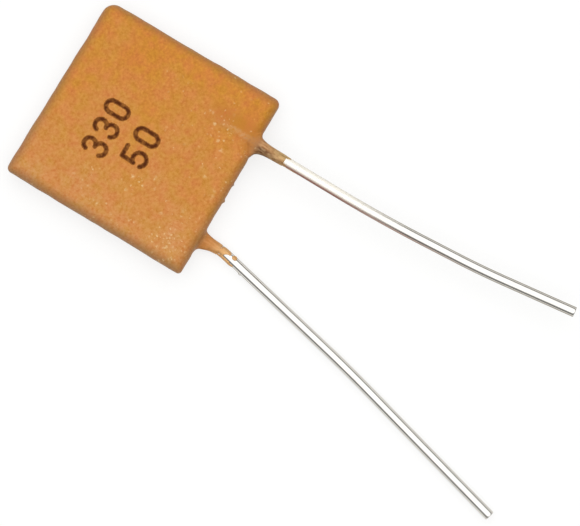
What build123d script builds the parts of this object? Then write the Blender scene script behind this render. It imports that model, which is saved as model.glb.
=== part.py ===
from build123d import *
from math import cos, radians, sin
import os

# A square ceramic plate capacitor: a silvered ceramic plate with a tinned wire soldered to each face,
# all dipped in lacquer. It lies on its back, with its marked face up (+Z) and its leads towards -Y.
# All sizes are in millimetres. A heading is in degrees, outwards from straight down the body.

# The ceramic dielectric, cut as a square plate
plate_side = 10.6
plate_thickness = 0.35
plate_corner_radius = 0.15

# The silver fired onto each face, with a bare margin, so that the two coats don't meet round the edge
silver_margin = 0.4
silver_thickness = 0.03
silver_corner_radius = 0.5

# The two wire leads, which run straight out of the body and then turn outwards twice
wire_diameter = 0.6
lead_pitch = 6.35
lead_shift = -0.175
lead_overlap = 1.9
front_straight_run = 11.2
front_middle_run = 6.5
front_end_run = 6.0
front_headings = (0.0, 3.7, 7.0)
front_middle_bend_radius = 90.0
front_end_bend_radius = 52.0
back_straight_run = 4.37
back_middle_run = 9.97
back_end_run = 11.86
back_headings = (0.0, 12.5, 14.8)
back_middle_bend_radius = 1.2
back_end_bend_radius = 90.0

# The solder that wets each wire and the silver beside it
solder_film = 0.035
solder_height = 0.4
solder_grip = 0.04
solder_spread = 0.32
solder_past_end = 0.3
solder_edge_gap = 0.05
wetting_angle = 20.0

# The dip coat: its wall at the plate's rim, on its faces and over the wires, and its rounded edges
rim_coat = 0.5
face_coat = 0.7
wire_coat = 0.08
edge_rounding = 0.75
corner_radii = {(-1, 1): 0.3, (1, 1): 0.7, (1, -1): 0.4, (-1, -1): 0.2}

# The meniscus that the coat draws out along each wire, and the thin film that it ends in
junction_radius = 0.25
front_meniscus_length = 0.9
back_meniscus_length = 1.15
film_thickness = 0.03
film_tip_thickness = 0.015
film_tip_length = 0.15
front_film_length = 1.95
back_film_length = 1.4

wire_radius = wire_diameter / 2
silver_side = plate_side - 2 * silver_margin
silver_top = plate_thickness / 2 + silver_thickness
wire_height = silver_top + solder_film + wire_radius
front_x = lead_shift + lead_pitch / 2
back_x = lead_shift - lead_pitch / 2
lead_start = lead_overlap - silver_side / 2
body_side = plate_side + 2 * rim_coat
body_thickness = plate_thickness + 2 * face_coat
bead_radius = wire_radius + wire_coat
solder_foot = wire_radius + solder_spread
front_runs = (front_straight_run, front_middle_run, front_end_run)
back_runs = (back_straight_run, back_middle_run, back_end_run)
front_bend_radii = (front_middle_bend_radius, front_end_bend_radius)
back_bend_radii = (back_middle_bend_radius, back_end_bend_radius)


def lead_corners(across, outward, runs, headings):
    # The corners of a lead's centreline, from its soldered end to its free end
    corners = [(across, lead_start)]
    for run, heading in zip(runs, headings):
        last_x, last_y = corners[-1]
        turned = radians(heading)
        corners.append((last_x + outward * run * sin(turned), last_y - run * cos(turned)))
    return corners


def draw_wire(corners, bend_radii, side):
    # A round wire with square-cut ends, along its centreline on one side of the plate
    with BuildLine(Plane.XY.offset(side * wire_height)) as route:
        FilletPolyline(*corners, radius=bend_radii)
    with BuildSketch(Plane(origin=route.line @ 0, z_dir=route.line % 0)) as section:
        Circle(wire_radius)
    sweep(section.sketch, path=route.line)


def flow_solder(across, side):
    # A low mound with hollow flanks, rounded off at both ends of its run along the wire: one flank and
    # one end, mirrored to the other flank and the other end
    inner_end = lead_start + solder_past_end - solder_foot
    outer_end = solder_foot + solder_edge_gap - silver_side / 2
    crest = (wire_radius - solder_grip, solder_height)
    section = Plane(origin=(across, inner_end, side * silver_top), x_dir=(side, 0, 0), z_dir=(0, -1, 0))
    with BuildSketch(section) as flank:
        with BuildLine():
            Polyline((solder_foot, 0), (0, 0), (0, solder_height), crest)
            rise = (-cos(radians(wetting_angle)), sin(radians(wetting_angle)))
            TangentArc((solder_foot, 0), crest, tangent=rise)
        make_face()
    revolve(flank.sketch, axis=Axis((across, inner_end, 0), (0, 0, 1)))
    extrude(flank.sketch, amount=inner_end - outer_end)
    mirror(about=Plane.YZ.offset(across))
    mirror(about=Plane(origin=(across, (inner_end + outer_end) / 2, 0), z_dir=(0, 1, 0)))


def coat_lead(across, side, meniscus_length, film_length):
    # The bead of lacquer over a wire: it starts round the soldered end, runs out over the body's rim
    # and thins to a film along the bare wire
    rim = body_side / 2
    tip = -lead_start - wire_radius
    film_end = rim + film_length
    film_start = rim + meniscus_length
    axis_plane = Plane(origin=(across, 0, side * wire_height), x_dir=(0, -1, 0), z_dir=(side, 0, 0))
    with BuildSketch(axis_plane) as profile:
        with BuildLine():
            RadiusArc((tip + bead_radius, bead_radius), (tip, 0), -bead_radius)
            Polyline(
                (tip, 0),
                (film_end, 0),
                (film_end, wire_radius + film_tip_thickness),
                (film_end - film_tip_length, wire_radius + film_thickness),
                (film_start, wire_radius + film_thickness),
                (rim, bead_radius),
                (tip + bead_radius, bead_radius),
            )
        make_face()
    revolve(profile.sketch, axis=Axis((across, 0, side * wire_height), (0, 1, 0)))


with BuildPart() as ceramic_plate:
    Box(plate_side, plate_side, plate_thickness)
    fillet(ceramic_plate.edges().filter_by(Axis.Z), plate_corner_radius)

with BuildPart() as front_electrode:
    with BuildSketch(Plane.XY.offset(plate_thickness / 2)):
        RectangleRounded(silver_side, silver_side, silver_corner_radius)
    extrude(amount=silver_thickness)

with BuildPart() as back_electrode:
    with BuildSketch(Plane.XY.offset(-plate_thickness / 2)):
        RectangleRounded(silver_side, silver_side, silver_corner_radius)
    extrude(amount=-silver_thickness)

with BuildPart() as front_lead:
    draw_wire(lead_corners(front_x, 1, front_runs, front_headings), front_bend_radii, 1)

with BuildPart() as back_lead:
    draw_wire(lead_corners(back_x, -1, back_runs, back_headings), back_bend_radii, -1)

with BuildPart() as front_solder:
    flow_solder(front_x, 1)
    add(front_lead.part, mode=Mode.SUBTRACT)

with BuildPart() as back_solder:
    flow_solder(back_x, -1)
    add(back_lead.part, mode=Mode.SUBTRACT)

dipped = [ceramic_plate, front_electrode, back_electrode, front_solder, back_solder, front_lead, back_lead]

with BuildPart() as coating:
    with BuildSketch(Plane.XY.offset(-body_thickness / 2)) as outline:
        Rectangle(body_side, body_side)
        for (across, along), radius in corner_radii.items():
            corner = (across * body_side / 2, along * body_side / 2)
            fillet(outline.vertices().sort_by_distance(corner)[0], radius)
    extrude(amount=body_thickness)
    fillet(coating.faces().filter_by(Axis.Z).edges(), edge_rounding)
    coat_lead(front_x, 1, front_meniscus_length, front_film_length)
    fillet(coating.edges(Select.NEW), junction_radius)
    coat_lead(back_x, -1, back_meniscus_length, back_film_length)
    fillet(coating.edges(Select.NEW), junction_radius)
    for piece in dipped:
        add(piece.part, mode=Mode.SUBTRACT)

# The origin is under the middle of the whole part, on the surface that it lies on
whole = Compound([piece.part for piece in [coating, *dipped]]).bounding_box()
to_origin = Location((-whole.center().X, -whole.center().Y, -whole.min.Z))
for piece in [coating, *dipped]:
    piece.part.move(to_origin)

coating.part.label = "coating"
ceramic_plate.part.label = "ceramic_plate"
front_electrode.part.label = "front_electrode"
back_electrode.part.label = "back_electrode"
front_solder.part.label = "front_solder"
back_solder.part.label = "back_solder"
front_lead.part.label = "front_lead"
back_lead.part.label = "back_lead"

os.makedirs("parts", exist_ok=True)
for piece in [coating, *dipped]:
    export_step(piece.part, f"parts/{piece.part.label}.step")
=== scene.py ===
import math

import bmesh
import bpy
import numpy as np
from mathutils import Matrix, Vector, noise
from mathutils.bvhtree import BVHTree


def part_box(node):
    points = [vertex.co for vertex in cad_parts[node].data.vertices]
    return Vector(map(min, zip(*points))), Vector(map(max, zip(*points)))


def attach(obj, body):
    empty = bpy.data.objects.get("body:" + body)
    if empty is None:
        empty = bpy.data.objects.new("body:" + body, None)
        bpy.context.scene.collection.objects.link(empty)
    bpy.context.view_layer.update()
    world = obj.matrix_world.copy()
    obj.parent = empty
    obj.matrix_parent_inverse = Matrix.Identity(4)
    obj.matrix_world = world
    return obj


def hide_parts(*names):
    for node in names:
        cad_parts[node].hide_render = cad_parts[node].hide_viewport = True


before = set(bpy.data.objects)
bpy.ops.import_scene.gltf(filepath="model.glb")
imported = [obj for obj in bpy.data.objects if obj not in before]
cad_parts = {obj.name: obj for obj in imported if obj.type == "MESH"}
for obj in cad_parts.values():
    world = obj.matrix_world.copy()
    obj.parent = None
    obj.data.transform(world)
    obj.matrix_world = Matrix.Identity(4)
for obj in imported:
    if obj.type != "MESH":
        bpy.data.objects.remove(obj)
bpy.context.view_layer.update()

# The view looks straight down on the part, which lies on its back. Places on the part are given in
# millimetres from the middle of its ceramic plate: X as the digits read, Y away from the leads, Z up.
MM = 0.001
PHOTO_SIZE = (580, 526)
PHOTO_PIXELS_PER_MM = 17.28
PLATE_CENTRE_PIXEL = (143.7, 136.55)
# How far anticlockwise the part lies turned in the picture
ACROSS_ANGLE = math.radians(58.985)
CAMERA_HEIGHT = 260
NEAREST_SEEN, FURTHEST_SEEN = 5, 20000
FRONT_FACE_HEIGHT = 0.875
SENSOR_WIDTH = 36

plate_low, plate_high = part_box("ceramic_plate")
plate_centre = (plate_low + plate_high) / 2
right = (PHOTO_SIZE[0] / 2 - PLATE_CENTRE_PIXEL[0]) / PHOTO_PIXELS_PER_MM
down = (PHOTO_SIZE[1] / 2 - PLATE_CENTRE_PIXEL[1]) / PHOTO_PIXELS_PER_MM
sight = complex(right, -down) * complex(math.cos(ACROSS_ANGLE), -math.sin(ACROSS_ANGLE))
camera = bpy.data.objects.new("camera", bpy.data.cameras.new("camera"))
camera.location = plate_centre + Vector((sight.real, sight.imag, CAMERA_HEIGHT)) * MM
camera.rotation_euler = (0, 0, -ACROSS_ANGLE)
camera.data.sensor_width = SENSOR_WIDTH
face_distance = CAMERA_HEIGHT - FRONT_FACE_HEIGHT
camera.data.lens = SENSOR_WIDTH * face_distance * PHOTO_PIXELS_PER_MM / PHOTO_SIZE[0]
camera.data.clip_start = NEAREST_SEEN * MM
camera.data.clip_end = FURTHEST_SEEN * MM
bpy.context.scene.collection.objects.link(camera)
bpy.context.scene.camera = camera
bpy.context.scene.view_settings.view_transform = "Standard"


# The dielectric is a square plate of high-permittivity titanate ceramic, scored from a tape-cast sheet
# and fired. It is the middle of the stack, and nothing of it shows through the coat.
CERAMIC_BUFF, CERAMIC_SAND = "#c9b48c", "#b89c72"
# The real grain is a few thousandths of a millimetre and too fine to show, so it is drawn coarser
CERAMIC_GRAIN, CERAMIC_GRAIN_DEPTH = 0.04, 0.002
CERAMIC_CLOUD = 1.5


def linear(hex_colour):
    # An sRGB hex colour as the linear numbers that a shader takes
    channels = [int(hex_colour[i : i + 2], 16) / 255 for i in (1, 3, 5)]
    return [c / 12.92 if c <= 0.04045 else ((c + 0.055) / 1.055) ** 2.4 for c in channels] + [1.0]


def add_node(tree, kind, sockets=None, **settings):
    # One node with its settings, and each of the given sockets set to a value or linked to another node
    node = tree.nodes.new(kind)
    for name, value in settings.items():
        setattr(node, name, value)
    for socket, value in (sockets or {}).items():
        if isinstance(value, bpy.types.NodeSocket):
            tree.links.new(value, node.inputs[socket])
        else:
            node.inputs[socket].default_value = value
    return node


def new_material(name):
    # A material with one Principled surface, and the place on the part in millimetres for its patterns
    material = bpy.data.materials.new(name)
    material.use_nodes = True
    tree = material.node_tree
    here = add_node(tree, "ShaderNodeTexCoord").outputs["Object"]
    from_centre = add_node(tree, "ShaderNodeVectorMath", {0: here, 1: plate_centre}, operation="SUBTRACT")
    scaled = {0: from_centre.outputs[0], "Scale": 1 / MM}
    place = add_node(tree, "ShaderNodeVectorMath", scaled, operation="SCALE").outputs[0]
    return material, tree, tree.nodes["Principled BSDF"], place


def set_surface(tree, surface, **sockets):
    # Sets or links sockets of the surface shader, named with underscores for spaces
    for name, value in sockets.items():
        socket = surface.inputs[name.replace("_", " ")]
        if isinstance(value, bpy.types.NodeSocket):
            tree.links.new(value, socket)
        else:
            socket.default_value = value


def dress(node_name, material):
    # Gives a CAD node its finish
    for material_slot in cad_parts[node_name].material_slots:
        material_slot.material = material


# Unglazed fired ceramic: matte, with a fine grain and soft clouds of sandy brown
ceramic, tree, surface, place = new_material("fired_titanate_ceramic")
grain = add_node(tree, "ShaderNodeTexNoise", {"Vector": place, "Scale": 1 / CERAMIC_GRAIN, "Detail": 3.0})
cloud = add_node(tree, "ShaderNodeTexNoise", {"Vector": place, "Scale": 1 / CERAMIC_CLOUD, "Detail": 4.0})
tone = {0: cloud.outputs["Fac"], 6: linear(CERAMIC_BUFF), 7: linear(CERAMIC_SAND)}
colour = add_node(tree, "ShaderNodeMix", tone, data_type="RGBA").outputs[2]
relief = {"Height": grain.outputs["Fac"], "Strength": 0.6, "Distance": CERAMIC_GRAIN_DEPTH * MM}
bump = add_node(tree, "ShaderNodeBump", relief).outputs[0]
set_surface(tree, surface, Base_Color=colour, Roughness=0.75, IOR=1.6, Normal=bump)
dress("ceramic_plate", ceramic)


# The electrodes are silver paste, screen-printed on both faces of the plate and fired on. The print
# leaves the marks of the screen's threads, which is what breaks up its dull shine.
SILVER_BRIGHT, SILVER_DULL = "#dad7cf", "#b8b3a8"
SCREEN_THREAD, SCREEN_THREAD_DEPTH = 0.12, 0.003
SILVER_CLOUD = 0.8
# How many bands a wave pattern has in each unit at a scale of 1
WAVE_BANDS = 3.18

silver, tree, surface, place = new_material("fired_silver_paste")
threads = []
for direction in ("X", "Y"):
    pattern = {"Vector": place, "Scale": 1 / SCREEN_THREAD / WAVE_BANDS, "Distortion": 0.6}
    threads.append(add_node(tree, "ShaderNodeTexWave", pattern, bands_direction=direction).outputs["Fac"])
weave = add_node(tree, "ShaderNodeMath", {0: threads[0], 1: threads[1]}, operation="MULTIPLY").outputs[0]
cloud = add_node(tree, "ShaderNodeTexNoise", {"Vector": place, "Scale": 1 / SILVER_CLOUD, "Detail": 4.0})
tone = {0: cloud.outputs["Fac"], 6: linear(SILVER_BRIGHT), 7: linear(SILVER_DULL)}
colour = add_node(tree, "ShaderNodeMix", tone, data_type="RGBA").outputs[2]
rough = add_node(tree, "ShaderNodeMapRange", {"Value": cloud.outputs["Fac"], "To Min": 0.35, "To Max": 0.6})
relief = {"Height": weave, "Strength": 0.5, "Distance": SCREEN_THREAD_DEPTH * MM}
bump = add_node(tree, "ShaderNodeBump", relief).outputs[0]
set_surface(tree, surface, Base_Color=colour, Metallic=1.0, Roughness=rough.outputs[0], Normal=bump)
for electrode in ("front_electrode", "back_electrode"):
    dress(electrode, silver)


# The leads are copper wire with a hot-dipped coat of tin, drawn smooth, soldered flat along each silvered
# face and cropped off square. Each leaves the body straight and was later bent outwards by hand.
WIRE_RADIUS = 0.3
WIRE_HEIGHT = 0.54
WIRE_SIDES = 48
WIRE_STEP = 0.12
CROPPED_EDGE = 0.025
LEAD_START = -3.0
# Each lead's place across the part, which way it bends and its height, then the lengths of its runs, their
# headings in degrees and the radii of the bends between them
FRONT_ROUTE = {"across": 3.0, "outward": 1, "height": WIRE_HEIGHT}
FRONT_BENDS = {"runs": (11.2, 6.5, 6.0), "headings": (0.0, 3.7, 7.0), "bend_radii": (90.0, 52.0)}
BACK_ROUTE = {"across": -3.35, "outward": -1, "height": -WIRE_HEIGHT}
BACK_BENDS = {"runs": (4.37, 9.97, 11.86), "headings": (0.0, 12.5, 14.8), "bend_radii": (1.2, 90.0)}
TIN_BRIGHT, TIN_GREY = "#f2efe9", "#dcd9d3"
TIN_AT_GRAZING = "#b4b0aa"
TIN_ROUGHEST, TIN_SMOOTHEST = 0.22, 0.08
# The lines that a die leaves are too fine to show, so they are drawn wider than the real ones
DRAWN_LINE, DRAWN_LINE_LENGTH, DRAWN_LINE_DEPTH = 0.035, 1.6, 0.0005
TIN_CLOUD = 0.5
# How far from its middle the painted shade down a wire's sides starts and is whole, and how much it shows
# on each wire
TIN_SIDE_SHADE = "#a9a296"
SIDE_SHADE_FROM, SIDE_SHADE_TO = 0.2, 0.28
SIDE_SHADE_BACK, SIDE_SHADE_FRONT = 0.35, 1.0
TIN_REDDISH, TIN_FLUX = "#a87c6e", "#fffaee"
FLUX_ROUGHNESS, FLUX_METALLIC = 0.6, 0.15
# What the front wire keeps down its sides: where it starts across the wire, where it is whole, how far along
# the wire it has faded out, and its colour. All three are whole as far as FLANKS_WHOLE_TO.
FLANKS = [(-0.05, -0.11, 13.0, TIN_FLUX), (-0.1, -0.22, 18.0, TIN_REDDISH), (0.08, 0.14, 13.0, TIN_FLUX)]
FLANKS_WHOLE_TO = 8.5


def lead_line(across, outward, height, runs, headings, bend_radii):
    # Points along a lead's centreline: straight stretches, joined by arcs that touch both of them
    turns = [math.radians(after - before) for before, after in zip(headings, headings[1:])]
    cuts = [0.0] + [radius * math.tan(turn / 2) for radius, turn in zip(bend_radii, turns)] + [0.0]
    stretches = []
    for i, run in enumerate(runs):
        stretches.append((run - cuts[i] - cuts[i + 1], 0.0))
        if i < len(turns):
            stretches.append((bend_radii[i] * turns[i], turns[i]))
    spot, heading = Vector((across, LEAD_START, height)), math.radians(headings[0])
    line = [spot.copy()]
    for length, turn in stretches:
        steps = max(2, math.ceil(length / WIRE_STEP))
        for _ in range(steps):
            heading += turn / steps / 2
            spot += Vector((outward * math.sin(heading), -math.cos(heading), 0)) * (length / steps)
            heading += turn / steps / 2
            line.append(spot.copy())
    return line


def point_on(lead, distance, angle, radius):
    # A point that far along a lead, turned that far from its top towards +X, and that far from its middle
    line, lengths = lead
    i = min(max(int(np.searchsorted(lengths, distance)) - 1, 0), len(line) - 2)
    ahead = (line[i + 1] - line[i]).normalized()
    up = Vector((0, 0, 1))
    outwards = up.cross(ahead) * math.sin(angle) + up * math.cos(angle)
    return line[i] + ahead * (distance - lengths[i]) + outwards * radius


def add_piece(name, mesh, material):
    # A mesh as a piece of the part
    piece = bpy.data.objects.new(name, mesh)
    bpy.context.scene.collection.objects.link(piece)
    mesh.materials.append(material)
    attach(piece, "root")
    return piece


def face_outwards(mesh):
    # Turns every face of a closed mesh outwards
    turned = bmesh.new()
    turned.from_mesh(mesh)
    bmesh.ops.recalc_face_normals(turned, faces=turned.faces)
    turned.to_mesh(mesh)
    turned.free()


def wire_mesh(name, lead):
    # A round wire, closed at both ends, its free end cropped. It keeps each point's place on the wire as
    # if it were straight, so that the drawn lines follow the bends.
    lengths = lead[1]
    rings = [(distance, WIRE_RADIUS) for distance in lengths[:-1]]
    rings += [(lengths[-1] - CROPPED_EDGE, WIRE_RADIUS), (lengths[-1], WIRE_RADIUS - CROPPED_EDGE)]
    angles = [2 * math.pi * side / WIRE_SIDES for side in range(WIRE_SIDES)]
    points, straightened, faces = [], [], []
    for distance, radius in rings:
        for angle in angles:
            points.append(plate_centre + point_on(lead, distance, angle, radius) * MM)
            straightened.append((distance, radius * math.sin(angle), radius * math.cos(angle)))
    for ring in range(len(rings) - 1):
        for side in range(WIRE_SIDES):
            near, far = ring * WIRE_SIDES, (ring + 1) * WIRE_SIDES
            after = (side + 1) % WIRE_SIDES
            faces.append((near + side, near + after, far + after, far + side))
    faces += [tuple(range(WIRE_SIDES)), tuple(range(len(points) - WIRE_SIDES, len(points)))]
    mesh = bpy.data.meshes.new(name)
    mesh.from_pydata(points, [], faces)
    face_outwards(mesh)
    for polygon in mesh.polygons:
        polygon.use_smooth = len(polygon.vertices) == 4
    kept = mesh.attributes.new("straightened", "FLOAT_VECTOR", "POINT")
    kept.data.foreach_set("vector", np.array(straightened, np.float32).ravel())
    return mesh


# Hot-dipped tin: a soft mirror with fine drawn lines and greyer clouds, dimmed at a grazing angle by its
# oxide skin. Painted shade makes it greyer down both sides, less so on the back wire. Towards the body the
# front wire keeps a dull white skin of flux down both sides, and a reddish tint, which runs further, down
# one of them.
tin, tree, surface, place = new_material("hot_dipped_tin")
straightened = add_node(tree, "ShaderNodeAttribute", attribute_name="straightened").outputs["Vector"]
stretch = {0: straightened, 1: (DRAWN_LINE / DRAWN_LINE_LENGTH, 1, 1)}
drawn = add_node(tree, "ShaderNodeVectorMath", stretch, operation="MULTIPLY").outputs[0]
lines = add_node(tree, "ShaderNodeTexNoise", {"Vector": drawn, "Scale": 1 / DRAWN_LINE, "Detail": 2.0})
lines = lines.outputs["Fac"]
cloud = add_node(tree, "ShaderNodeTexNoise", {"Vector": place, "Scale": 1 / TIN_CLOUD, "Detail": 4.0})
tone = {0: cloud.outputs["Fac"], 6: linear(TIN_BRIGHT), 7: linear(TIN_GREY)}
colour = add_node(tree, "ShaderNodeMix", tone, data_type="RGBA").outputs[2]
on_wire = add_node(tree, "ShaderNodeSeparateXYZ", {0: straightened}).outputs
across = add_node(tree, "ShaderNodeSeparateXYZ", {0: place}).outputs["X"]
front = add_node(tree, "ShaderNodeMath", {0: across, 1: 0.0}, operation="GREATER_THAN").outputs[0]
# Painted shade down both sides of each wire, fainter on the back wire
aside = add_node(tree, "ShaderNodeMath", {0: on_wire["Y"]}, operation="ABSOLUTE").outputs[0]
side_shade = {"Value": aside, "From Min": SIDE_SHADE_FROM, "From Max": SIDE_SHADE_TO}
side_shade = add_node(tree, "ShaderNodeMapRange", side_shade).outputs[0]
side_shade_share = {"Value": front, "To Min": SIDE_SHADE_BACK, "To Max": SIDE_SHADE_FRONT}
side_shade_share = add_node(tree, "ShaderNodeMapRange", side_shade_share).outputs[0]
side_shade = add_node(tree, "ShaderNodeMath", {0: side_shade, 1: side_shade_share}, operation="MULTIPLY").outputs[0]
tone = {0: side_shade, 6: colour, 7: linear(TIN_SIDE_SHADE)}
colour = add_node(tree, "ShaderNodeMix", tone, data_type="RGBA").outputs[2]
flux = []
for flank_from, flank_to, faded_at, flank_colour in FLANKS:
    near_body = {"Value": on_wire["X"], "From Min": faded_at, "From Max": FLANKS_WHOLE_TO}
    near_body = add_node(tree, "ShaderNodeMapRange", near_body).outputs[0]
    near_front = add_node(tree, "ShaderNodeMath", {0: near_body, 1: front}, operation="MULTIPLY").outputs[0]
    flank = {"Value": on_wire["Y"], "From Min": flank_from, "From Max": flank_to}
    flank = add_node(tree, "ShaderNodeMapRange", flank).outputs[0]
    flank = add_node(tree, "ShaderNodeMath", {0: near_front, 1: flank}, operation="MULTIPLY").outputs[0]
    tone = {0: flank, 6: colour, 7: linear(flank_colour)}
    colour = add_node(tree, "ShaderNodeMix", tone, data_type="RGBA").outputs[2]
    if flank_colour == TIN_FLUX:
        flux.append(flank)
covered = add_node(tree, "ShaderNodeMath", {0: flux[0], 1: flux[1]}, operation="MAXIMUM").outputs[0]
metal = {"Value": covered, "To Min": 1.0, "To Max": FLUX_METALLIC}
metal = add_node(tree, "ShaderNodeMapRange", metal).outputs[0]
rough = {"Value": cloud.outputs["Fac"], "To Min": TIN_SMOOTHEST, "To Max": TIN_ROUGHEST}
rough = add_node(tree, "ShaderNodeMapRange", rough).outputs[0]
rough = {"Value": covered, "To Min": rough, "To Max": FLUX_ROUGHNESS}
rough = add_node(tree, "ShaderNodeMapRange", rough).outputs[0]
relief = {"Height": lines, "Strength": 0.4, "Distance": DRAWN_LINE_DEPTH * MM}
bump = add_node(tree, "ShaderNodeBump", relief).outputs[0]
set_surface(tree, surface, Base_Color=colour, Metallic=metal, Roughness=rough, Normal=bump)
set_surface(tree, surface, Specular_Tint=linear(TIN_AT_GRAZING))

leads = {}
for name, route, bends in (("front_lead", FRONT_ROUTE, FRONT_BENDS), ("back_lead", BACK_ROUTE, BACK_BENDS)):
    line = lead_line(**route, **bends)
    steps = [(after - before).length for before, after in zip(line, line[1:])]
    leads[name] = (line, np.concatenate([[0.0], np.cumsum(steps)]))
    wire = add_piece(name + "_wire", wire_mesh(name + "_wire", leads[name]), tin)
    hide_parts(name)


# Each wire is soldered to the silver with tin-lead solder, which wetted both and froze with hollow flanks.
# It is sealed in the coat, so only its crystals break up its shine.
SOLDER_BRIGHT, SOLDER_GREY = "#c9c8c4", "#9c9b98"
SOLDER_CRYSTAL, SOLDER_CRYSTAL_DEPTH = 0.09, 0.002

solder, tree, surface, place = new_material("tin_lead_solder")
crystals = add_node(tree, "ShaderNodeTexVoronoi", {"Vector": place, "Scale": 1 / SOLDER_CRYSTAL})
tone = {0: crystals.outputs["Distance"], 6: linear(SOLDER_BRIGHT), 7: linear(SOLDER_GREY)}
colour = add_node(tree, "ShaderNodeMix", tone, data_type="RGBA").outputs[2]
relief = {"Height": crystals.outputs["Distance"], "Strength": 0.4, "Distance": SOLDER_CRYSTAL_DEPTH * MM}
bump = add_node(tree, "ShaderNodeBump", relief).outputs[0]
set_surface(tree, surface, Base_Color=colour, Metallic=1.0, Roughness=0.35, Normal=bump)
for mound in ("front_solder", "back_solder"):
    dress(mound, solder)


# The coat is phenolic dip lacquer, orange-tan and heavily filled. The part is dipped and hung up by its
# leads to cure, so surface tension rounds every edge, and the lacquer creeps out along both wires.
SKIN_STEP = 0.075
# An inner face of the coat lies within TOUCHING of a buried piece and looks the other way, so that the
# product of their normals is below FACING_AWAY
TOUCHING, FACING_AWAY = 0.01, -0.3
BODY_HALF = 5.8
# How far past the rim, down the wires, the body's own form has died away, and its uneven skin has died away
# and is still whole
FORM_ENDS, SKIN_ENDS, SKIN_WHOLE = 1.1, 0.7, -0.1
# How far each corner stands off a true square, because the ceramic was snapped a little out of square
CORNER_SHIFTS = {(-1, -1): (0.02, -0.07), (1, -1): (0.0, 0.01), (1, 1): (-0.07, -0.03), (-1, 1): (0.04, 0.09)}
# The swells of the faces and of the rim, and the orange peel: how long they are and how deep. The rim is
# also a little fuller all round.
FACE_WAVE, FACE_WAVE_DEPTH = 3.2, 0.018
RIM_WAVE, RIM_WAVE_DEPTH = 0.9, 0.018
PEEL, PEEL_DEPTH = 0.42, 0.0035
RIM_FULLNESS = 0.028
# What brings the noise to between about -1 and 1, and how far each seed moves the place it is taken from
NOISE_GAIN = 1.6
SEED_STEP = (7.3, 3.1, 5.7)
# Small drips on the rim by the leads: place, width and height. Each is drawn out across the rim's thickness.
DRIPS = [((-0.82, -5.85), 0.09, 0.1), ((0.27, -5.82), 0.08, 0.06), ((3.38, -6.15), 0.08, 0.07)]
DRIP_DRAWN_OUT = 2
# The menisci where the wires leave the rim: the side of the wire, which way it faces, how far it reaches
MENISCI = [(-3.75, -1, 0.045), (-2.97, 1, 0.018), (2.66, -1, 0.05), (3.32, 1, 0.014)]
RIM_AT_WIRES = -5.77
# How near to the rim a meniscus still widens, how wide it gets, how far above the rim it has faded out, and
# where it comes in and goes out beside its wire
MENISCUS_NEAREST, MENISCUS_WIDEST, MENISCUS_ABOVE = 0.06, 0.45, 0.45
MENISCUS_INNER, MENISCUS_OUTER = (-0.33, 0.0), (1.0, 0.1)
# The back wire's meniscus is fuller at one place on its outer side
FULL_FLANK, FULL_FLANK_WIDTH, FULL_FLANK_SHIFT = (-3.85, -6.2), 0.32, -0.1


def clean_mesh(source):
    # A mesh to work on, its doubled points joined
    mesh = bmesh.new()
    mesh.from_mesh(source)
    bmesh.ops.remove_doubles(mesh, verts=mesh.verts, dist=1e-7)
    return mesh


def outer_skin(coat, buried):
    # The outside of the coat alone: an inner face lies against a buried piece and faces the other way
    trees = []
    for name in buried:
        piece = clean_mesh(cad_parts[name].data)
        trees.append(BVHTree.FromBMesh(piece))
        piece.free()
    skin = clean_mesh(coat)
    skin.normal_update()
    inner = []
    for face in skin.faces:
        for tree in trees:
            _, normal, _, gap = tree.find_nearest(face.calc_center_median())
            if gap < TOUCHING * MM and face.normal.dot(normal) < FACING_AWAY:
                inner.append(face)
                break
    bmesh.ops.delete(skin, geom=inner, context="FACES")
    open_edges = [edge for edge in skin.edges if edge.is_boundary]
    bmesh.ops.holes_fill(skin, edges=open_edges, sides=0)
    bmesh.ops.recalc_face_normals(skin, faces=skin.faces)
    for vertex in skin.verts:
        vertex.co = (vertex.co - plate_centre) / MM
    return skin


def evenly_meshed(skin):
    # The same form in small even faces, in millimetres from the plate's middle
    mesh = bpy.data.meshes.new("coat_skin")
    skin.to_mesh(mesh)
    shell = bpy.data.objects.new("coat_skin", mesh)
    bpy.context.scene.collection.objects.link(shell)
    remesh = shell.modifiers.new("even_faces", "REMESH")
    remesh.mode = "VOXEL"
    remesh.voxel_size = SKIN_STEP
    bpy.context.view_layer.update()
    evaluated = shell.evaluated_get(bpy.context.evaluated_depsgraph_get())
    even = bpy.data.meshes.new_from_object(evaluated)
    even.name = "dip_coat"
    bpy.data.objects.remove(shell)
    return even


def read_points(mesh):
    # The places of a mesh's points, one row each
    points = np.zeros(len(mesh.vertices) * 3, np.float32)
    mesh.vertices.foreach_get("co", points)
    return points.reshape(-1, 3).astype(float)


def write_points(mesh, points):
    # Moves a mesh's points to these places
    mesh.vertices.foreach_set("co", points.astype(np.float32).ravel())
    mesh.update()


def relax(mesh, points, rounds, share):
    # Moves every point part of the way to the mean of its neighbours
    edges = np.zeros(len(mesh.edges) * 2, np.int64)
    mesh.edges.foreach_get("vertices", edges)
    edges = edges.reshape(-1, 2)
    count = np.bincount(edges.ravel(), minlength=len(points))[:, None]
    for _ in range(rounds):
        total = np.zeros_like(points)
        np.add.at(total, edges[:, 0], points[edges[:, 1]])
        np.add.at(total, edges[:, 1], points[edges[:, 0]])
        points = points + share * (total / count - points)
    return points


def ramp(value, start, end):
    # A smooth step from 0 at start to 1 at end
    share = np.clip((value - start) / (end - start), 0, 1)
    return share * share * (3 - 2 * share)


def waves(points, size, seed):
    # Smooth noise between about -1 and 1, whose waves are that long in millimetres. Each seed takes it from
    # another place.
    offset = Vector([seed * step for step in SEED_STEP])
    return np.array([noise.noise(Vector(point) / size + offset) for point in points]) * NOISE_GAIN


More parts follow.
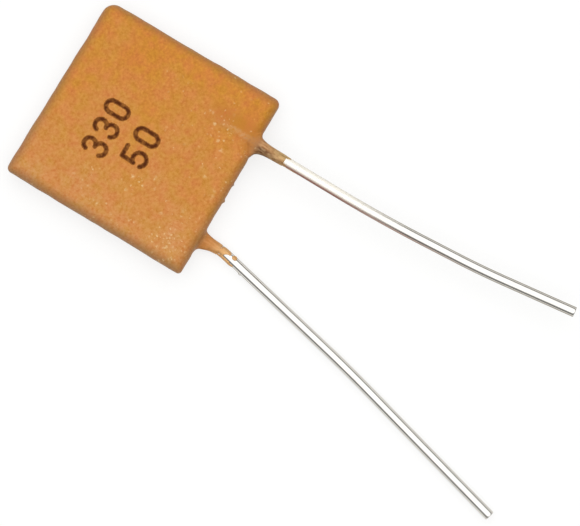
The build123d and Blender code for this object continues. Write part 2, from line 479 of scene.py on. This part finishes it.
skin = outer_skin(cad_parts["coating"].data, [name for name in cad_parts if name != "coating"])
skin_tree = BVHTree.FromBMesh(skin)
coat_mesh = evenly_meshed(skin)
skin.free()
points = np.array([skin_tree.find_nearest(Vector(point))[0] for point in read_points(coat_mesh)])
points = relax(coat_mesh, points, rounds=2, share=0.5)
write_points(coat_mesh, points)
normals = np.zeros(len(points) * 3, np.float32)
coat_mesh.vertex_normals.foreach_get("vector", normals)
normals = normals.reshape(-1, 3)

on_body = ramp(points[:, 1], -BODY_HALF - FORM_ENDS, -BODY_HALF)
off_wires = ramp(points[:, 1], -BODY_HALF - SKIN_ENDS, -BODY_HALF - SKIN_WHOLE)
across, along = np.clip(points[:, 0] / BODY_HALF, -1, 1), np.clip(points[:, 1] / BODY_HALF, -1, 1)
for (side_x, side_y), (shift_x, shift_y) in CORNER_SHIFTS.items():
    nearness = (1 + side_x * across) * (1 + side_y * along) / 4 * on_body
    points[:, 0] += nearness * shift_x
    points[:, 1] += nearness * shift_y
lift = FACE_WAVE_DEPTH * waves(points, FACE_WAVE, seed=1) * on_body
sideways = np.hypot(normals[:, 0], normals[:, 1]) * off_wires
lift += (RIM_FULLNESS + RIM_WAVE_DEPTH * waves(points, RIM_WAVE, seed=2)) * sideways
lift += PEEL_DEPTH * waves(points, PEEL, seed=3) * off_wires
for (drip_x, drip_y), width, height in DRIPS:
    apart = (points[:, 0] - drip_x) ** 2 + (points[:, 1] - drip_y) ** 2
    apart += (points[:, 2] / DRIP_DRAWN_OUT) ** 2
    lift += height * np.exp(-apart / width**2)
points += normals * lift[:, None]
apart = (points[:, 0] - FULL_FLANK[0]) ** 2 + (points[:, 1] - FULL_FLANK[1]) ** 2
points[:, 0] += FULL_FLANK_SHIFT * np.exp(-apart / FULL_FLANK_WIDTH**2)
for side_x, facing, reach in MENISCI:
    below_rim = np.maximum(RIM_AT_WIRES - points[:, 1], MENISCUS_NEAREST)
    spread = np.minimum(reach / below_rim, MENISCUS_WIDEST)
    spread *= ramp(points[:, 1], RIM_AT_WIRES + MENISCUS_ABOVE, RIM_AT_WIRES)
    outward = (points[:, 0] - side_x) * facing
    points[:, 0] += facing * spread * ramp(outward, *MENISCUS_INNER) * ramp(outward, *MENISCUS_OUTER)
# Nothing sinks below the surface that the part lies on
points[:, 2] = np.maximum(points[:, 2], -plate_centre.z / MM)
faces = [polygon.vertices[:] for polygon in coat_mesh.polygons]
coat_tree = BVHTree.FromPolygons([Vector(point) for point in points], faces)
write_points(coat_mesh, points * MM + np.array(plate_centre))
coat_mesh.shade_smooth()

LACQUER_OCHRE, LACQUER_ORANGE = "#c8861f", "#d27a38"
LACQUER_LIGHT, LACQUER_DARK = "#e4a03b", "#b0651f"
HUE_CLOUD = 0.75
FILLER_GRAIN, FILLER_GRAIN_DEPTH, FILLER_SHARE = 0.16, 0.004, 0.4
COAT_ROUGHNESS, FILM_ROUGHNESS = 0.45, 0.3
# The painted sheen comes in clouds of this size, and grows across the part along its slope, up to this share
PAINTED_SHEEN = "#d3a071"
SHEEN_CLOUD, SHEEN_SLOPE, SHEEN_MOST = 2.4, (-0.07, -0.01, 0), 0.4
# Where painted sheen and painted glints gather on the front face: the middle, how far it reaches, and
# their shares.
# Each is whole over GATHERED_WHOLE of its reach.
GATHERED = [
    ((-4.8, -4.2, 0.9), 1.7, 0.36, 0.68),
    ((-2.6, -0.9, 0.9), 1.1, 0.12, 0.95),
    ((2.3, -3.9, 0.9), 1.2, 0.03, 0.65),
    ((-3.2, 1.4, 0.9), 0.9, 0.0, 0.4),
    ((-5.0, 4.8, 0.9), 1.5, 0.2, 0.0),
    ((4.2, 4.6, 0.9), 1.9, 0.2, 0.0),
]
GATHERED_WHOLE = 0.1
# The coarse and the fine painted glints: the cell that each has to itself, its radius, how rare and how pale
# it is
GLINTS = [(0.5, 0.16, 1.5, 0.6), (0.24, 0.09, 1.5, 0.72)]
PAINTED_GLINT = "#f4d89e"
# How much the painted glints follow the painted sheen's clouds, the slope along which they thicken, and how
# softly they give way to bare lacquer
GLINT_CLOUDINESS, GLINT_SLOPE, GLINT_SOFTNESS = 1.4, (-0.03, -0.045, 0), 0.4
GLINT_RAGGED, GLINT_RAGGED_SIZE = 0.24, 0.14
RIDGE = 3.04
# Bands along the front wire: the middle, the half width, the share, the colour, and where it starts and is
# whole. Across the wire, each is whole over BAND_WHOLE of its half width.
RIDGE_BANDS = [
    (3.4, 0.9, 0.72, "#b56e1c", -2.0, -3.4),
    (RIDGE, 0.3, 0.45, "#dcb080", -2.6, -4.8),
    # painted shade where the ridge runs out over the rim
    (2.85, 0.7, 0.75, "#a05c22", -4.7, -5.6),
]
BAND_WHOLE = 0.2
# The painted shade round the rim: its colour, how far in it starts, how far out it is whole, its share, and
# how far out each side counts, so that the left side is the darkest
PAINTED_RIM_SHADE = "#8e735a"
RIM_SHADE_IN, RIM_SHADE_OUT, RIM_SHADE_MOST = 0.8, 0.02, 0.45
RIM_SHADE_SIDES = [("X", -1.0), ("X", 0.975), ("Y", 0.975), ("Y", -0.95)]
# The film's colour where it leaves the rim and where it ends: round the back wire, and on the two sides of
# the front wire, which meet between PALE_FROM and PALE_TO of its ridge. The front wire's darker side is
# painted shade and dirt.
FILM_BACK = ("#d48b45", "#dfab70")
FILM_FRONT_SHADE_AND_DIRT, FILM_FRONT_PALE = ("#744826", "#bd9060"), ("#bf8350", "#c59e68")
PALE_FROM, PALE_TO = -0.13, 0.02
# How far past the rim the film takes over from the coat, and how far past it the film thins and how much
# metal then shows
FILM_FROM, FILM_TO = -0.05, 0.4
THIN_FROM, THIN_TO, THIN_METALLIC = 0.4, 1.7, 0.35
# Streaks along the film: their colours, width and length, and how much of them shows on each wire
FILM_SCORCHED, FILM_CLEAR = "#513722", "#dabc8c"
FILM_STREAK, FILM_STREAK_LENGTH = 0.12, 0.35
STREAKED_BACK, STREAKED_FRONT = 0.12, 0.3

# Phenolic lacquer filled with mineral powder: a waxy orange-tan with a dull shine, mottled in hue, with
# painted glints and a painted whitish sheen towards one side
lacquer, tree, surface, place = new_material("phenolic_dip_lacquer")
place_on = add_node(tree, "ShaderNodeSeparateXYZ", {0: place}).outputs
hue = {"Vector": place, "Scale": 1 / HUE_CLOUD, "Detail": 1.5}
hue = add_node(tree, "ShaderNodeTexNoise", hue).outputs["Fac"]
hue = add_node(tree, "ShaderNodeMapRange", {"Value": hue, "From Min": 0.34, "From Max": 0.66}).outputs[0]
tone = {0: hue, 6: linear(LACQUER_OCHRE), 7: linear(LACQUER_ORANGE)}
resin = add_node(tree, "ShaderNodeMix", tone, data_type="RGBA").outputs[2]
filler = {"Vector": place, "Scale": 1 / FILLER_GRAIN, "Detail": 3.0, "Roughness": 0.6}
filler = add_node(tree, "ShaderNodeTexNoise", filler).outputs["Fac"]
filler_tone = {"Value": filler, "From Min": 0.3, "From Max": 0.7}
filler_tone = add_node(tree, "ShaderNodeMapRange", filler_tone).outputs[0]
tone = {0: filler_tone, 6: linear(LACQUER_DARK), 7: linear(LACQUER_LIGHT)}
powder = add_node(tree, "ShaderNodeMix", tone, data_type="RGBA").outputs[2]
coated = {0: FILLER_SHARE, 6: resin, 7: powder}
coated = add_node(tree, "ShaderNodeMix", coated, data_type="RGBA").outputs[2]

# A painted whitish sheen, leaning across the face and gathered in clouds
leaning = add_node(tree, "ShaderNodeVectorMath", {0: place, 1: SHEEN_SLOPE}, operation="DOT_PRODUCT")
sheen_cloud = {"Vector": place, "Scale": 1 / SHEEN_CLOUD, "Detail": 4.0, "Roughness": 0.6}
sheen_cloud = add_node(tree, "ShaderNodeTexNoise", sheen_cloud)
sheen = {0: leaning.outputs["Value"], 1: sheen_cloud.outputs["Fac"]}
sheen = add_node(tree, "ShaderNodeMath", sheen, operation="ADD").outputs[0]
sheen = {"Value": sheen, "From Min": 0.2, "From Max": 1.2, "To Max": SHEEN_MOST}
sheen = add_node(tree, "ShaderNodeMapRange", sheen).outputs[0]
powdery = {"Value": filler_tone, "To Min": 0.2, "To Max": 1.8}
powdery = add_node(tree, "ShaderNodeMapRange", powdery).outputs[0]
sheen = add_node(tree, "ShaderNodeMath", {0: sheen, 1: powdery}, operation="MULTIPLY").outputs[0]
tone = {0: sheen, 6: coated, 7: linear(PAINTED_SHEEN)}
coated = add_node(tree, "ShaderNodeMix", tone, data_type="RGBA").outputs[2]
patchy = {"Value": sheen_cloud.outputs["Fac"], "From Min": 0.35, "From Max": 0.65}
patchy = add_node(tree, "ShaderNodeMapRange", patchy).outputs[0]
patchy = add_node(tree, "ShaderNodeMath", {0: patchy, 1: powdery}, operation="MULTIPLY").outputs[0]
# How likely each painted glint is, from the sheen's clouds and a slope across the face
glint_lean = add_node(tree, "ShaderNodeVectorMath", {0: place, 1: GLINT_SLOPE}, operation="DOT_PRODUCT")
glints = {0: sheen_cloud.outputs["Fac"], 1: GLINT_CLOUDINESS, 2: glint_lean.outputs["Value"]}
glints = add_node(tree, "ShaderNodeMath", glints, operation="MULTIPLY_ADD").outputs[0]
for middle, reach, sheen_share, glint_share in GATHERED:
    apart = add_node(tree, "ShaderNodeVectorMath", {0: place, 1: middle}, operation="DISTANCE")
    near = {"Value": apart.outputs["Value"], "From Min": reach, "From Max": GATHERED_WHOLE * reach}
    near = add_node(tree, "ShaderNodeMapRange", near, interpolation_type="SMOOTHSTEP").outputs[0]
    white = add_node(tree, "ShaderNodeMath", {0: near, 1: patchy}, operation="MULTIPLY").outputs[0]
    white = add_node(tree, "ShaderNodeMath", {0: white, 1: sheen_share}, operation="MULTIPLY").outputs[0]
    tone = {0: white, 6: coated, 7: linear(PAINTED_SHEEN)}
    coated = add_node(tree, "ShaderNodeMix", tone, data_type="RGBA").outputs[2]
    glints = {0: near, 1: glint_share, 2: glints}
    glints = add_node(tree, "ShaderNodeMath", glints, operation="MULTIPLY_ADD").outputs[0]

# Over the front wire the lacquer is paler along the crest and lies deeper in a puddle beside it, and painted
# shade darkens both where they run out over the rim
for middle, half, share, shade, start, end in RIDGE_BANDS:
    apart = add_node(tree, "ShaderNodeMath", {0: place_on["X"], 1: middle}, operation="SUBTRACT").outputs[0]
    apart = add_node(tree, "ShaderNodeMath", {0: apart}, operation="ABSOLUTE").outputs[0]
    band = {"Value": apart, "From Min": half, "From Max": BAND_WHOLE * half, "To Max": share}
    band = add_node(tree, "ShaderNodeMapRange", band, interpolation_type="SMOOTHSTEP").outputs[0]
    along = {"Value": place_on["Y"], "From Min": start, "From Max": end}
    along = add_node(tree, "ShaderNodeMapRange", along, interpolation_type="SMOOTHSTEP").outputs[0]
    band = add_node(tree, "ShaderNodeMath", {0: band, 1: along}, operation="MULTIPLY").outputs[0]
    band = add_node(tree, "ShaderNodeMath", {0: band, 1: filler_tone}, operation="MULTIPLY").outputs[0]
    tone = {0: band, 6: coated, 7: linear(shade)}
    coated = add_node(tree, "ShaderNodeMix", tone, data_type="RGBA").outputs[2]

# Painted shade round the rim, darkest down the left side
outermost = 0.0
for axis, share in RIM_SHADE_SIDES:
    outwards = {0: place_on[axis], 1: share}
    outwards = add_node(tree, "ShaderNodeMath", outwards, operation="MULTIPLY").outputs[0]
    outermost = add_node(tree, "ShaderNodeMath", {0: outermost, 1: outwards}, operation="MAXIMUM").outputs[0]
painted_rim_shade = {"Value": outermost, "From Min": BODY_HALF - RIM_SHADE_IN, "From Max": BODY_HALF + RIM_SHADE_OUT}
painted_rim_shade["To Max"] = RIM_SHADE_MOST
painted_rim_shade = add_node(tree, "ShaderNodeMapRange", painted_rim_shade, interpolation_type="SMOOTHSTEP").outputs[0]
tone = {0: painted_rim_shade, 6: coated, 7: linear(PAINTED_RIM_SHADE)}
coated = add_node(tree, "ShaderNodeMix", tone, data_type="RGBA").outputs[2]

# Painted glints: pale specks, ragged in outline and gathered in places
ragged = {"Vector": place, "Scale": 1 / GLINT_RAGGED_SIZE, "Detail": 2.0}
ragged = add_node(tree, "ShaderNodeTexNoise", ragged).outputs["Color"]
ragged = {0: ragged, 1: (GLINT_RAGGED, GLINT_RAGGED, GLINT_RAGGED), 2: place}
ragged = add_node(tree, "ShaderNodeVectorMath", ragged, operation="MULTIPLY_ADD").outputs[0]
for cell, radius, rare, share in GLINTS:
    cells = add_node(tree, "ShaderNodeTexVoronoi", {"Vector": ragged, "Scale": 1 / cell})
    spot = {"Value": cells.outputs["Distance"], "From Min": radius / cell, "From Max": 0.0}
    spot = add_node(tree, "ShaderNodeMapRange", spot, interpolation_type="SMOOTHSTEP").outputs[0]
    chance = {0: cells.outputs["Color"], 1: glints}
    chance = add_node(tree, "ShaderNodeMath", chance, operation="ADD").outputs[0]
    chosen = {"Value": chance, "From Min": rare, "From Max": rare + GLINT_SOFTNESS, "To Max": share}
    chosen = add_node(tree, "ShaderNodeMapRange", chosen).outputs[0]
    glint = add_node(tree, "ShaderNodeMath", {0: spot, 1: chosen}, operation="MULTIPLY").outputs[0]
    glinted = {0: glint, 6: coated, 7: linear(PAINTED_GLINT)}
    coated = add_node(tree, "ShaderNodeMix", glinted, data_type="RGBA").outputs[2]

# Over the wires it is a thin brown film with the metal showing through
thin = {"Value": place_on["Y"], "From Min": -BODY_HALF - THIN_FROM, "From Max": -BODY_HALF - THIN_TO}
thin = add_node(tree, "ShaderNodeMapRange", thin, interpolation_type="SMOOTHSTEP").outputs[0]
shades = []
for start, end in (FILM_BACK, FILM_FRONT_SHADE_AND_DIRT, FILM_FRONT_PALE):
    tone = {0: thin, 6: linear(start), 7: linear(end)}
    shades.append(add_node(tree, "ShaderNodeMix", tone, data_type="RGBA").outputs[2])
# The front wire's film is darker on its left side: painted shade and dirt
pale_side = {"Value": place_on["X"], "From Min": RIDGE + PALE_FROM, "From Max": RIDGE + PALE_TO}
pale_side = add_node(tree, "ShaderNodeMapRange", pale_side).outputs[0]
tone = {0: pale_side, 6: shades[1], 7: shades[2]}
front_film = add_node(tree, "ShaderNodeMix", tone, data_type="RGBA").outputs[2]
front = add_node(tree, "ShaderNodeMath", {0: place_on["X"], 1: 0.0}, operation="GREATER_THAN").outputs[0]
tone = {0: front, 6: shades[0], 7: front_film}
film_colour = add_node(tree, "ShaderNodeMix", tone, data_type="RGBA").outputs[2]
stretch = {0: place, 1: (1, FILM_STREAK / FILM_STREAK_LENGTH, 1)}
streak = add_node(tree, "ShaderNodeVectorMath", stretch, operation="MULTIPLY").outputs[0]
streak = add_node(tree, "ShaderNodeTexNoise", {"Vector": streak, "Scale": 1 / FILM_STREAK, "Detail": 2.0})
streak = {"Value": streak.outputs["Fac"], "From Min": 0.38, "From Max": 0.62}
streak = add_node(tree, "ShaderNodeMapRange", streak).outputs[0]
tone = {0: streak, 6: linear(FILM_SCORCHED), 7: linear(FILM_CLEAR)}
streaked = add_node(tree, "ShaderNodeMix", tone, data_type="RGBA").outputs[2]
share = {"Value": front, "To Min": STREAKED_BACK, "To Max": STREAKED_FRONT}
share = add_node(tree, "ShaderNodeMapRange", share).outputs[0]
tone = {0: share, 6: film_colour, 7: streaked}
film_colour = add_node(tree, "ShaderNodeMix", tone, data_type="RGBA").outputs[2]
neck = {"Value": place_on["Y"], "From Min": -BODY_HALF - FILM_FROM, "From Max": -BODY_HALF - FILM_TO}
neck = add_node(tree, "ShaderNodeMapRange", neck, interpolation_type="SMOOTHSTEP").outputs[0]
colour = add_node(tree, "ShaderNodeMix", {0: neck, 6: coated, 7: film_colour}, data_type="RGBA").outputs[2]
metal = add_node(tree, "ShaderNodeMath", {0: thin, 1: THIN_METALLIC}, operation="MULTIPLY").outputs[0]
rough = {"Value": thin, "To Min": COAT_ROUGHNESS, "To Max": FILM_ROUGHNESS}
rough = add_node(tree, "ShaderNodeMapRange", rough).outputs[0]
relief = {"Height": filler, "Strength": 0.5, "Distance": FILLER_GRAIN_DEPTH * MM}
bump = add_node(tree, "ShaderNodeBump", relief).outputs[0]
set_surface(tree, surface, Base_Color=colour, Metallic=metal, Roughness=rough, Normal=bump)
set_surface(tree, surface, IOR=1.5, Specular_IOR_Level=0.18)

coat_mesh.materials.clear()
coat = add_piece("dip_coat", coat_mesh, lacquer)
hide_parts("coating")


# Where the lacquer ran furthest it ends raggedly on the wires, in thin tongues over both of them. On the back
# wire it also left a drip down one side and an island further out, and a grain of tin stands up beyond them
# from the dipping of the wire.
RUN_STEP = 0.03
RUN_SINK = 0.02
# How far in from its edge a run is at its full thickness, and the size of the unevenness of that edge
RUN_EDGE, RUN_RAGGED_SIZE = 0.05, 0.11
# How far the grid that a patch is cut from goes past it
PATCH_MARGIN = 0.1
# Each run is made of patches: distance along the wire and round it from its top, half length, half width
FRONT_RUN = [(4.75, -0.32, 0.2, 0.17), (4.75, 0.34, 0.28, 0.15), (5.3, -0.42, 0.5, 0.07)]
BACK_RUN = [(4.32, -0.02, 0.24, 0.26), (4.5, 0.2, 0.34, 0.2)]
BACK_DRIP = [(4.72, -0.38, 0.64, 0.18)]
BACK_ISLAND = [(5.1, 0.21, 0.17, 0.17)]
BACK_GRAIN = [(5.94, -0.47, 0.1, 0.08)]


def thin_patch(name, low, high, step, inside, place_top, place_under):
    # A closed thin patch: the part of a grid where inside(u, v) is above zero, cut along its edge, as one
    # layer that place_top(u, v, depth) puts in space and one under it. It keeps each point's distance from
    # its edge.
    us, vs = np.arange(low[0], high[0] + step, step), np.arange(low[1], high[1] + step, step)
    depth = np.array([[inside(u, v) for v in vs] for u in us])
    corners = {}
    tops, unders, depths, faces = [], [], [], []

    def corner(first, second):
        # A grid point inside, or the place between two of them where the edge crosses
        key = (min(first, second), max(first, second))
        if key not in corners:
            (i, j), (k, m) = key
            share = 0 if first == second else depth[i, j] / (depth[i, j] - depth[k, m])
            u, v = us[i] + share * (us[k] - us[i]), vs[j] + share * (vs[m] - vs[j])
            inner = max(depth[i, j], 0) if first == second else 0.0
            corners[key] = len(tops)
            tops.append(place_top(u, v, inner))
            unders.append(place_under(u, v))
            depths.append(inner)
        return corners[key]

    triangles = []
    for i in range(len(us) - 1):
        for j in range(len(vs) - 1):
            a, b, c, d = (i, j), (i + 1, j), (i + 1, j + 1), (i, j + 1)
            triangles += [(a, b, c), (a, c, d)] if (i + j) % 2 else [(a, b, d), (b, c, d)]
    edges = []
    for triangle in triangles:
        loop, crossings = [], []
        for first, second in zip(triangle, triangle[1:] + triangle[:1]):
            if depth[first] > 0:
                loop.append(corner(first, first))
            if (depth[first] > 0) != (depth[second] > 0):
                crossing = corner(first, second)
                loop.append(crossing)
                crossings.append((crossing, depth[first] > 0))
        if len(loop) > 2:
            faces.append(tuple(loop))
        if len(crossings) == 2:
            leaving = [c for c, out in crossings if out][0]
            entering = [c for c, out in crossings if not out][0]
            edges.append((leaving, entering))
    shift = len(tops)
    faces += [tuple(point + shift for point in reversed(face)) for face in faces]
    faces += [(second, first, first + shift, second + shift) for first, second in edges]
    mesh = bpy.data.meshes.new(name)
    mesh.from_pydata([plate_centre + point * MM for point in tops + unders], [], faces)
    mesh.attributes.new("from_edge", "FLOAT", "POINT").data.foreach_set("value", depths + depths)
    face_outwards(mesh)
    mesh.shade_smooth()
    return mesh


def wire_patch(name, lead, patches, thickness, raggedness, material):
    # Lacquer or metal on a wire, from a few rounded patches with an uneven edge
    low = [min(spot[k] - spot[k + 2] for spot in patches) - PATCH_MARGIN for k in (0, 1)]
    high = [max(spot[k] + spot[k + 2] for spot in patches) + PATCH_MARGIN for k in (0, 1)]

    def inside(u, v):
        reach = [
            (1 - math.hypot((u - along) / half_length, (v - around) / half_width)) * half_width
            for along, around, half_length, half_width in patches
        ]
        return max(reach) + raggedness * noise.noise(Vector((u, v, 0)) / RUN_RAGGED_SIZE)

    def top(u, v, depth):
        rounded = min(1, math.sqrt(depth / RUN_EDGE))
        return point_on(lead, u, v / WIRE_RADIUS, WIRE_RADIUS + thickness * rounded)

    def under(u, v):
        return point_on(lead, u, v / WIRE_RADIUS, WIRE_RADIUS - RUN_SINK)

    return add_piece(name, thin_patch(name, low, high, RUN_STEP, inside, top, under), material)


# Each piece's name, lead, patches, thickness, how uneven its edge is, its material and its finish
for name, lead, patches, thickness, raggedness, material, finish in (
    ("front_lacquer_run", "front_lead", FRONT_RUN, 0.018, 0.02, lacquer, "coating_lacquer"),
    ("back_lacquer_run", "back_lead", BACK_RUN, 0.03, 0.06, lacquer, "coating_lacquer"),
    ("back_lacquer_drip", "back_lead", BACK_DRIP, 0.06, 0.04, lacquer, "coating_lacquer"),
    ("back_lacquer_island", "back_lead", BACK_ISLAND, 0.06, 0.03, lacquer, "coating_lacquer"),
    ("back_tin_grain", "back_lead", BACK_GRAIN, 0.06, 0.01, tin, "tinned_wire"),
):
    patch = wire_patch(name, leads[lead], patches, thickness, raggedness, material)


# The value and the voltage are printed on the front face with a rubber stamp, in dark brown ink that soaks
# into the lacquer. The stamp is worn, so its strokes are uneven in width and in colour.
STROKE = 0.29
DIGIT_HEIGHT = 1.7
DIGIT_WIDTH = 1.0
# Each digit, its left side and its foot
DIGITS = [("3", -2.45, 1.27), ("3", -1.2, 1.27), ("0", 0.05, 1.27), ("5", -1.75, -1.03), ("0", -0.45, -1.03)]
ARC_DEGREES = 8
# The radii of a 3's bowls, as shares of the height of its stroke, and where its hooks end, in degrees
UPPER_BOWL, LOWER_BOWL, HOOK = 0.245, 0.255, 165
# A 5's bowl, the height of its corner in bowls, how far its back leans, and where its bowl starts and ends
FIVE_BOWL, FIVE_CORNER, FIVE_LEAN, FIVE_FROM, FIVE_TO = 0.29, 1.55, 0.04, 125, -150
INK_STEP = 0.03
INK_THICKNESS = 0.006
INK_SINK = 0.02
STAMP_WEAR, STAMP_WEAR_SIZE = 0.03, 0.09
INK_BROWN, INK_THIN = "#562a10", "#a96c30"
INK_CLOUD = 0.3
INK_SOFT_EDGE = 0.08
ABOVE_PART = 5


def arc(centre_x, centre_y, radius, start, end):
    # Points along an arc, from one angle in degrees to another
    count = max(4, int(abs(end - start) / ARC_DEGREES))
    angles = np.radians(np.linspace(start, end, count))
    return [(centre_x + radius * math.cos(a), centre_y + radius * math.sin(a)) for a in angles]


def digit_strokes(digit):
    # The middle of a digit's pen stroke, from its lower left corner
    left, right = STROKE / 2, DIGIT_WIDTH - STROKE / 2
    foot, head = STROKE / 2, DIGIT_HEIGHT - STROKE / 2
    middle = (left + right) / 2
    half = (right - left) / 2
    if digit == "0":
        over, under = arc(middle, head - half, half, 0, 180), arc(middle, foot + half, half, 180, 360)
        return over + under + [(right, head - half)]
    if digit == "3":
        upper, lower = (head - foot) * UPPER_BOWL, (head - foot) * LOWER_BOWL
        return arc(middle, head - upper, upper, HOOK, -90) + arc(middle, foot + lower, lower, 90, -HOOK)
    bowl = (head - foot) * FIVE_BOWL
    flag = [(right, head), (left + FIVE_LEAN, head), (left, foot + bowl * FIVE_CORNER)]
    return flag + arc(middle - FIVE_LEAN, foot + bowl, bowl, FIVE_FROM, FIVE_TO)


def stroke_gap(u, v, strokes):
    # The distance from a point to the nearest stroke
    nearest = math.inf
    for line in strokes:
        for (ax, ay), (bx, by) in zip(line, line[1:]):
            run_x, run_y = bx - ax, by - ay
            share = ((u - ax) * run_x + (v - ay) * run_y) / max(run_x * run_x + run_y * run_y, 1e-9)
            share = min(max(share, 0), 1)
            nearest = min(nearest, math.hypot(u - ax - share * run_x, v - ay - share * run_y))
    return nearest


def on_face(x, y, lift):
    # The place on the front face there, lifted off it
    hit = coat_tree.ray_cast(Vector((x, y, ABOVE_PART)), Vector((0, 0, -1)))[0]
    return hit + Vector((0, 0, lift))


# Stamping ink: matte dark brown, blotchy, and thin at its edges and where the stamp barely touched
ink, tree, surface, place = new_material("brown_stamping_ink")
cloud = add_node(tree, "ShaderNodeTexNoise", {"Vector": place, "Scale": 1 / INK_CLOUD, "Detail": 3.0})
cloud = {"Value": cloud.outputs["Fac"], "From Min": 0.45, "From Max": 0.72, "To Max": 0.75}
cloud = add_node(tree, "ShaderNodeMapRange", cloud).outputs[0]
from_edge = add_node(tree, "ShaderNodeAttribute", attribute_name="from_edge").outputs["Fac"]
edge = add_node(tree, "ShaderNodeMapRange", {"Value": from_edge, "From Min": INK_SOFT_EDGE, "From Max": 0.0})
thinned = add_node(tree, "ShaderNodeMath", {0: cloud, 1: edge.outputs[0]}, operation="MAXIMUM").outputs[0]
tone = {0: thinned, 6: linear(INK_BROWN), 7: linear(INK_THIN)}
colour = add_node(tree, "ShaderNodeMix", tone, data_type="RGBA").outputs[2]
set_surface(tree, surface, Base_Color=colour, Roughness=0.7, IOR=1.5, Specular_IOR_Level=0.06)

for number, (digit, left, foot) in enumerate(DIGITS):
    strokes = [[(left + u, foot + v) for u, v in digit_strokes(digit)]]

    def inked(u, v):
        worn = STAMP_WEAR * noise.noise(Vector((u, v, number)) / STAMP_WEAR_SIZE)
        return STROKE / 2 - stroke_gap(u, v, strokes) + worn

    name = f"ink_digit_{number + 1}"
    mesh = thin_patch(
        name,
        (left - PATCH_MARGIN, foot - PATCH_MARGIN),
        (left + DIGIT_WIDTH + PATCH_MARGIN, foot + DIGIT_HEIGHT + PATCH_MARGIN),
        INK_STEP,
        inked,
        lambda u, v, depth: on_face(u, v, INK_THICKNESS),
        lambda u, v: on_face(u, v, -INK_SINK),
    )
    add_piece(name, mesh, ink)


# The part lies on matte white paper, under a wide soft box that dims towards the horizon on every side, with
# one small lamp at its upper right. To the eye and in the metal the paper is white with a faint shadow, and
# it throws about half of its light back onto the part.
PAPER_HALF = 3000
PAPER_BOUNCE, PAPER_SHADED = "#b9b8b5", "#8f8f8e"
PAPER_GLOW = 0.74
WHITE = "#ffffff"
# The soft box: the direction of its middle, its two levels, and how far from its middle it is bright and dim
SKY_MIDDLE = Vector((0.142, 0.1, 0.985)).normalized()
SKY_BRIGHT, SKY_DIM = 1.42, 0.21
SKY_BRIGHT_TO, SKY_DIM_FROM = math.cos(math.radians(42)), math.cos(math.radians(66))
LAMP_DIRECTION = Vector((0.5, 0.3, 0.81)).normalized()
LAMP_DISTANCE = 400
LAMP_SIZE = 120
LAMP_POWER = 0.03

corners = [(x * PAPER_HALF * MM, y * PAPER_HALF * MM, 0) for x, y in ((-1, -1), (1, -1), (1, 1), (-1, 1))]
paper_mesh = bpy.data.meshes.new("paper")
paper_mesh.from_pydata(corners, [], [(0, 1, 2, 3)])
paper = bpy.data.objects.new("paper", paper_mesh)
bpy.context.scene.collection.objects.link(paper)
sheet, tree, surface, place = new_material("matte_paper")
rays = add_node(tree, "ShaderNodeLightPath").outputs
seen = rays["Is Camera Ray"]
for ray in ("Is Glossy Ray", "Is Transmission Ray"):
    seen = add_node(tree, "ShaderNodeMath", {0: seen, 1: rays[ray]}, operation="MAXIMUM").outputs[0]
tone = {0: seen, 6: linear(PAPER_BOUNCE), 7: linear(PAPER_SHADED)}
colour = add_node(tree, "ShaderNodeMix", tone, data_type="RGBA").outputs[2]
glow = add_node(tree, "ShaderNodeMath", {0: seen, 1: PAPER_GLOW}, operation="MULTIPLY").outputs[0]
set_surface(tree, surface, Base_Color=colour, Roughness=1.0, Specular_IOR_Level=0.0)
set_surface(tree, surface, Emission_Color=linear(WHITE), Emission_Strength=glow)
paper_mesh.materials.append(sheet)

world = bpy.data.worlds.new("soft_box")
bpy.context.scene.world = world
world.use_nodes = True
tree = world.node_tree
toward = add_node(tree, "ShaderNodeTexCoord").outputs["Generated"]
lean = add_node(tree, "ShaderNodeVectorMath", {0: toward, 1: SKY_MIDDLE}, operation="DOT_PRODUCT")
sky = {"Value": lean.outputs["Value"], "From Min": SKY_DIM_FROM, "From Max": SKY_BRIGHT_TO}
sky.update({"To Min": SKY_DIM, "To Max": SKY_BRIGHT})
sky = add_node(tree, "ShaderNodeMapRange", sky, interpolation_type="SMOOTHSTEP").outputs[0]
backdrop = tree.nodes["Background"]
tree.links.new(sky, backdrop.inputs["Strength"])
backdrop.inputs["Color"].default_value = linear(WHITE)

lamp = bpy.data.objects.new("lamp", bpy.data.lights.new("lamp", "AREA"))
lamp.data.size = LAMP_SIZE * MM
lamp.data.energy = LAMP_POWER
lamp.location = plate_centre + LAMP_DIRECTION * LAMP_DISTANCE * MM
lamp.rotation_euler = (-LAMP_DIRECTION).to_track_quat("-Z", "Y").to_euler()
bpy.context.scene.collection.objects.link(lamp)
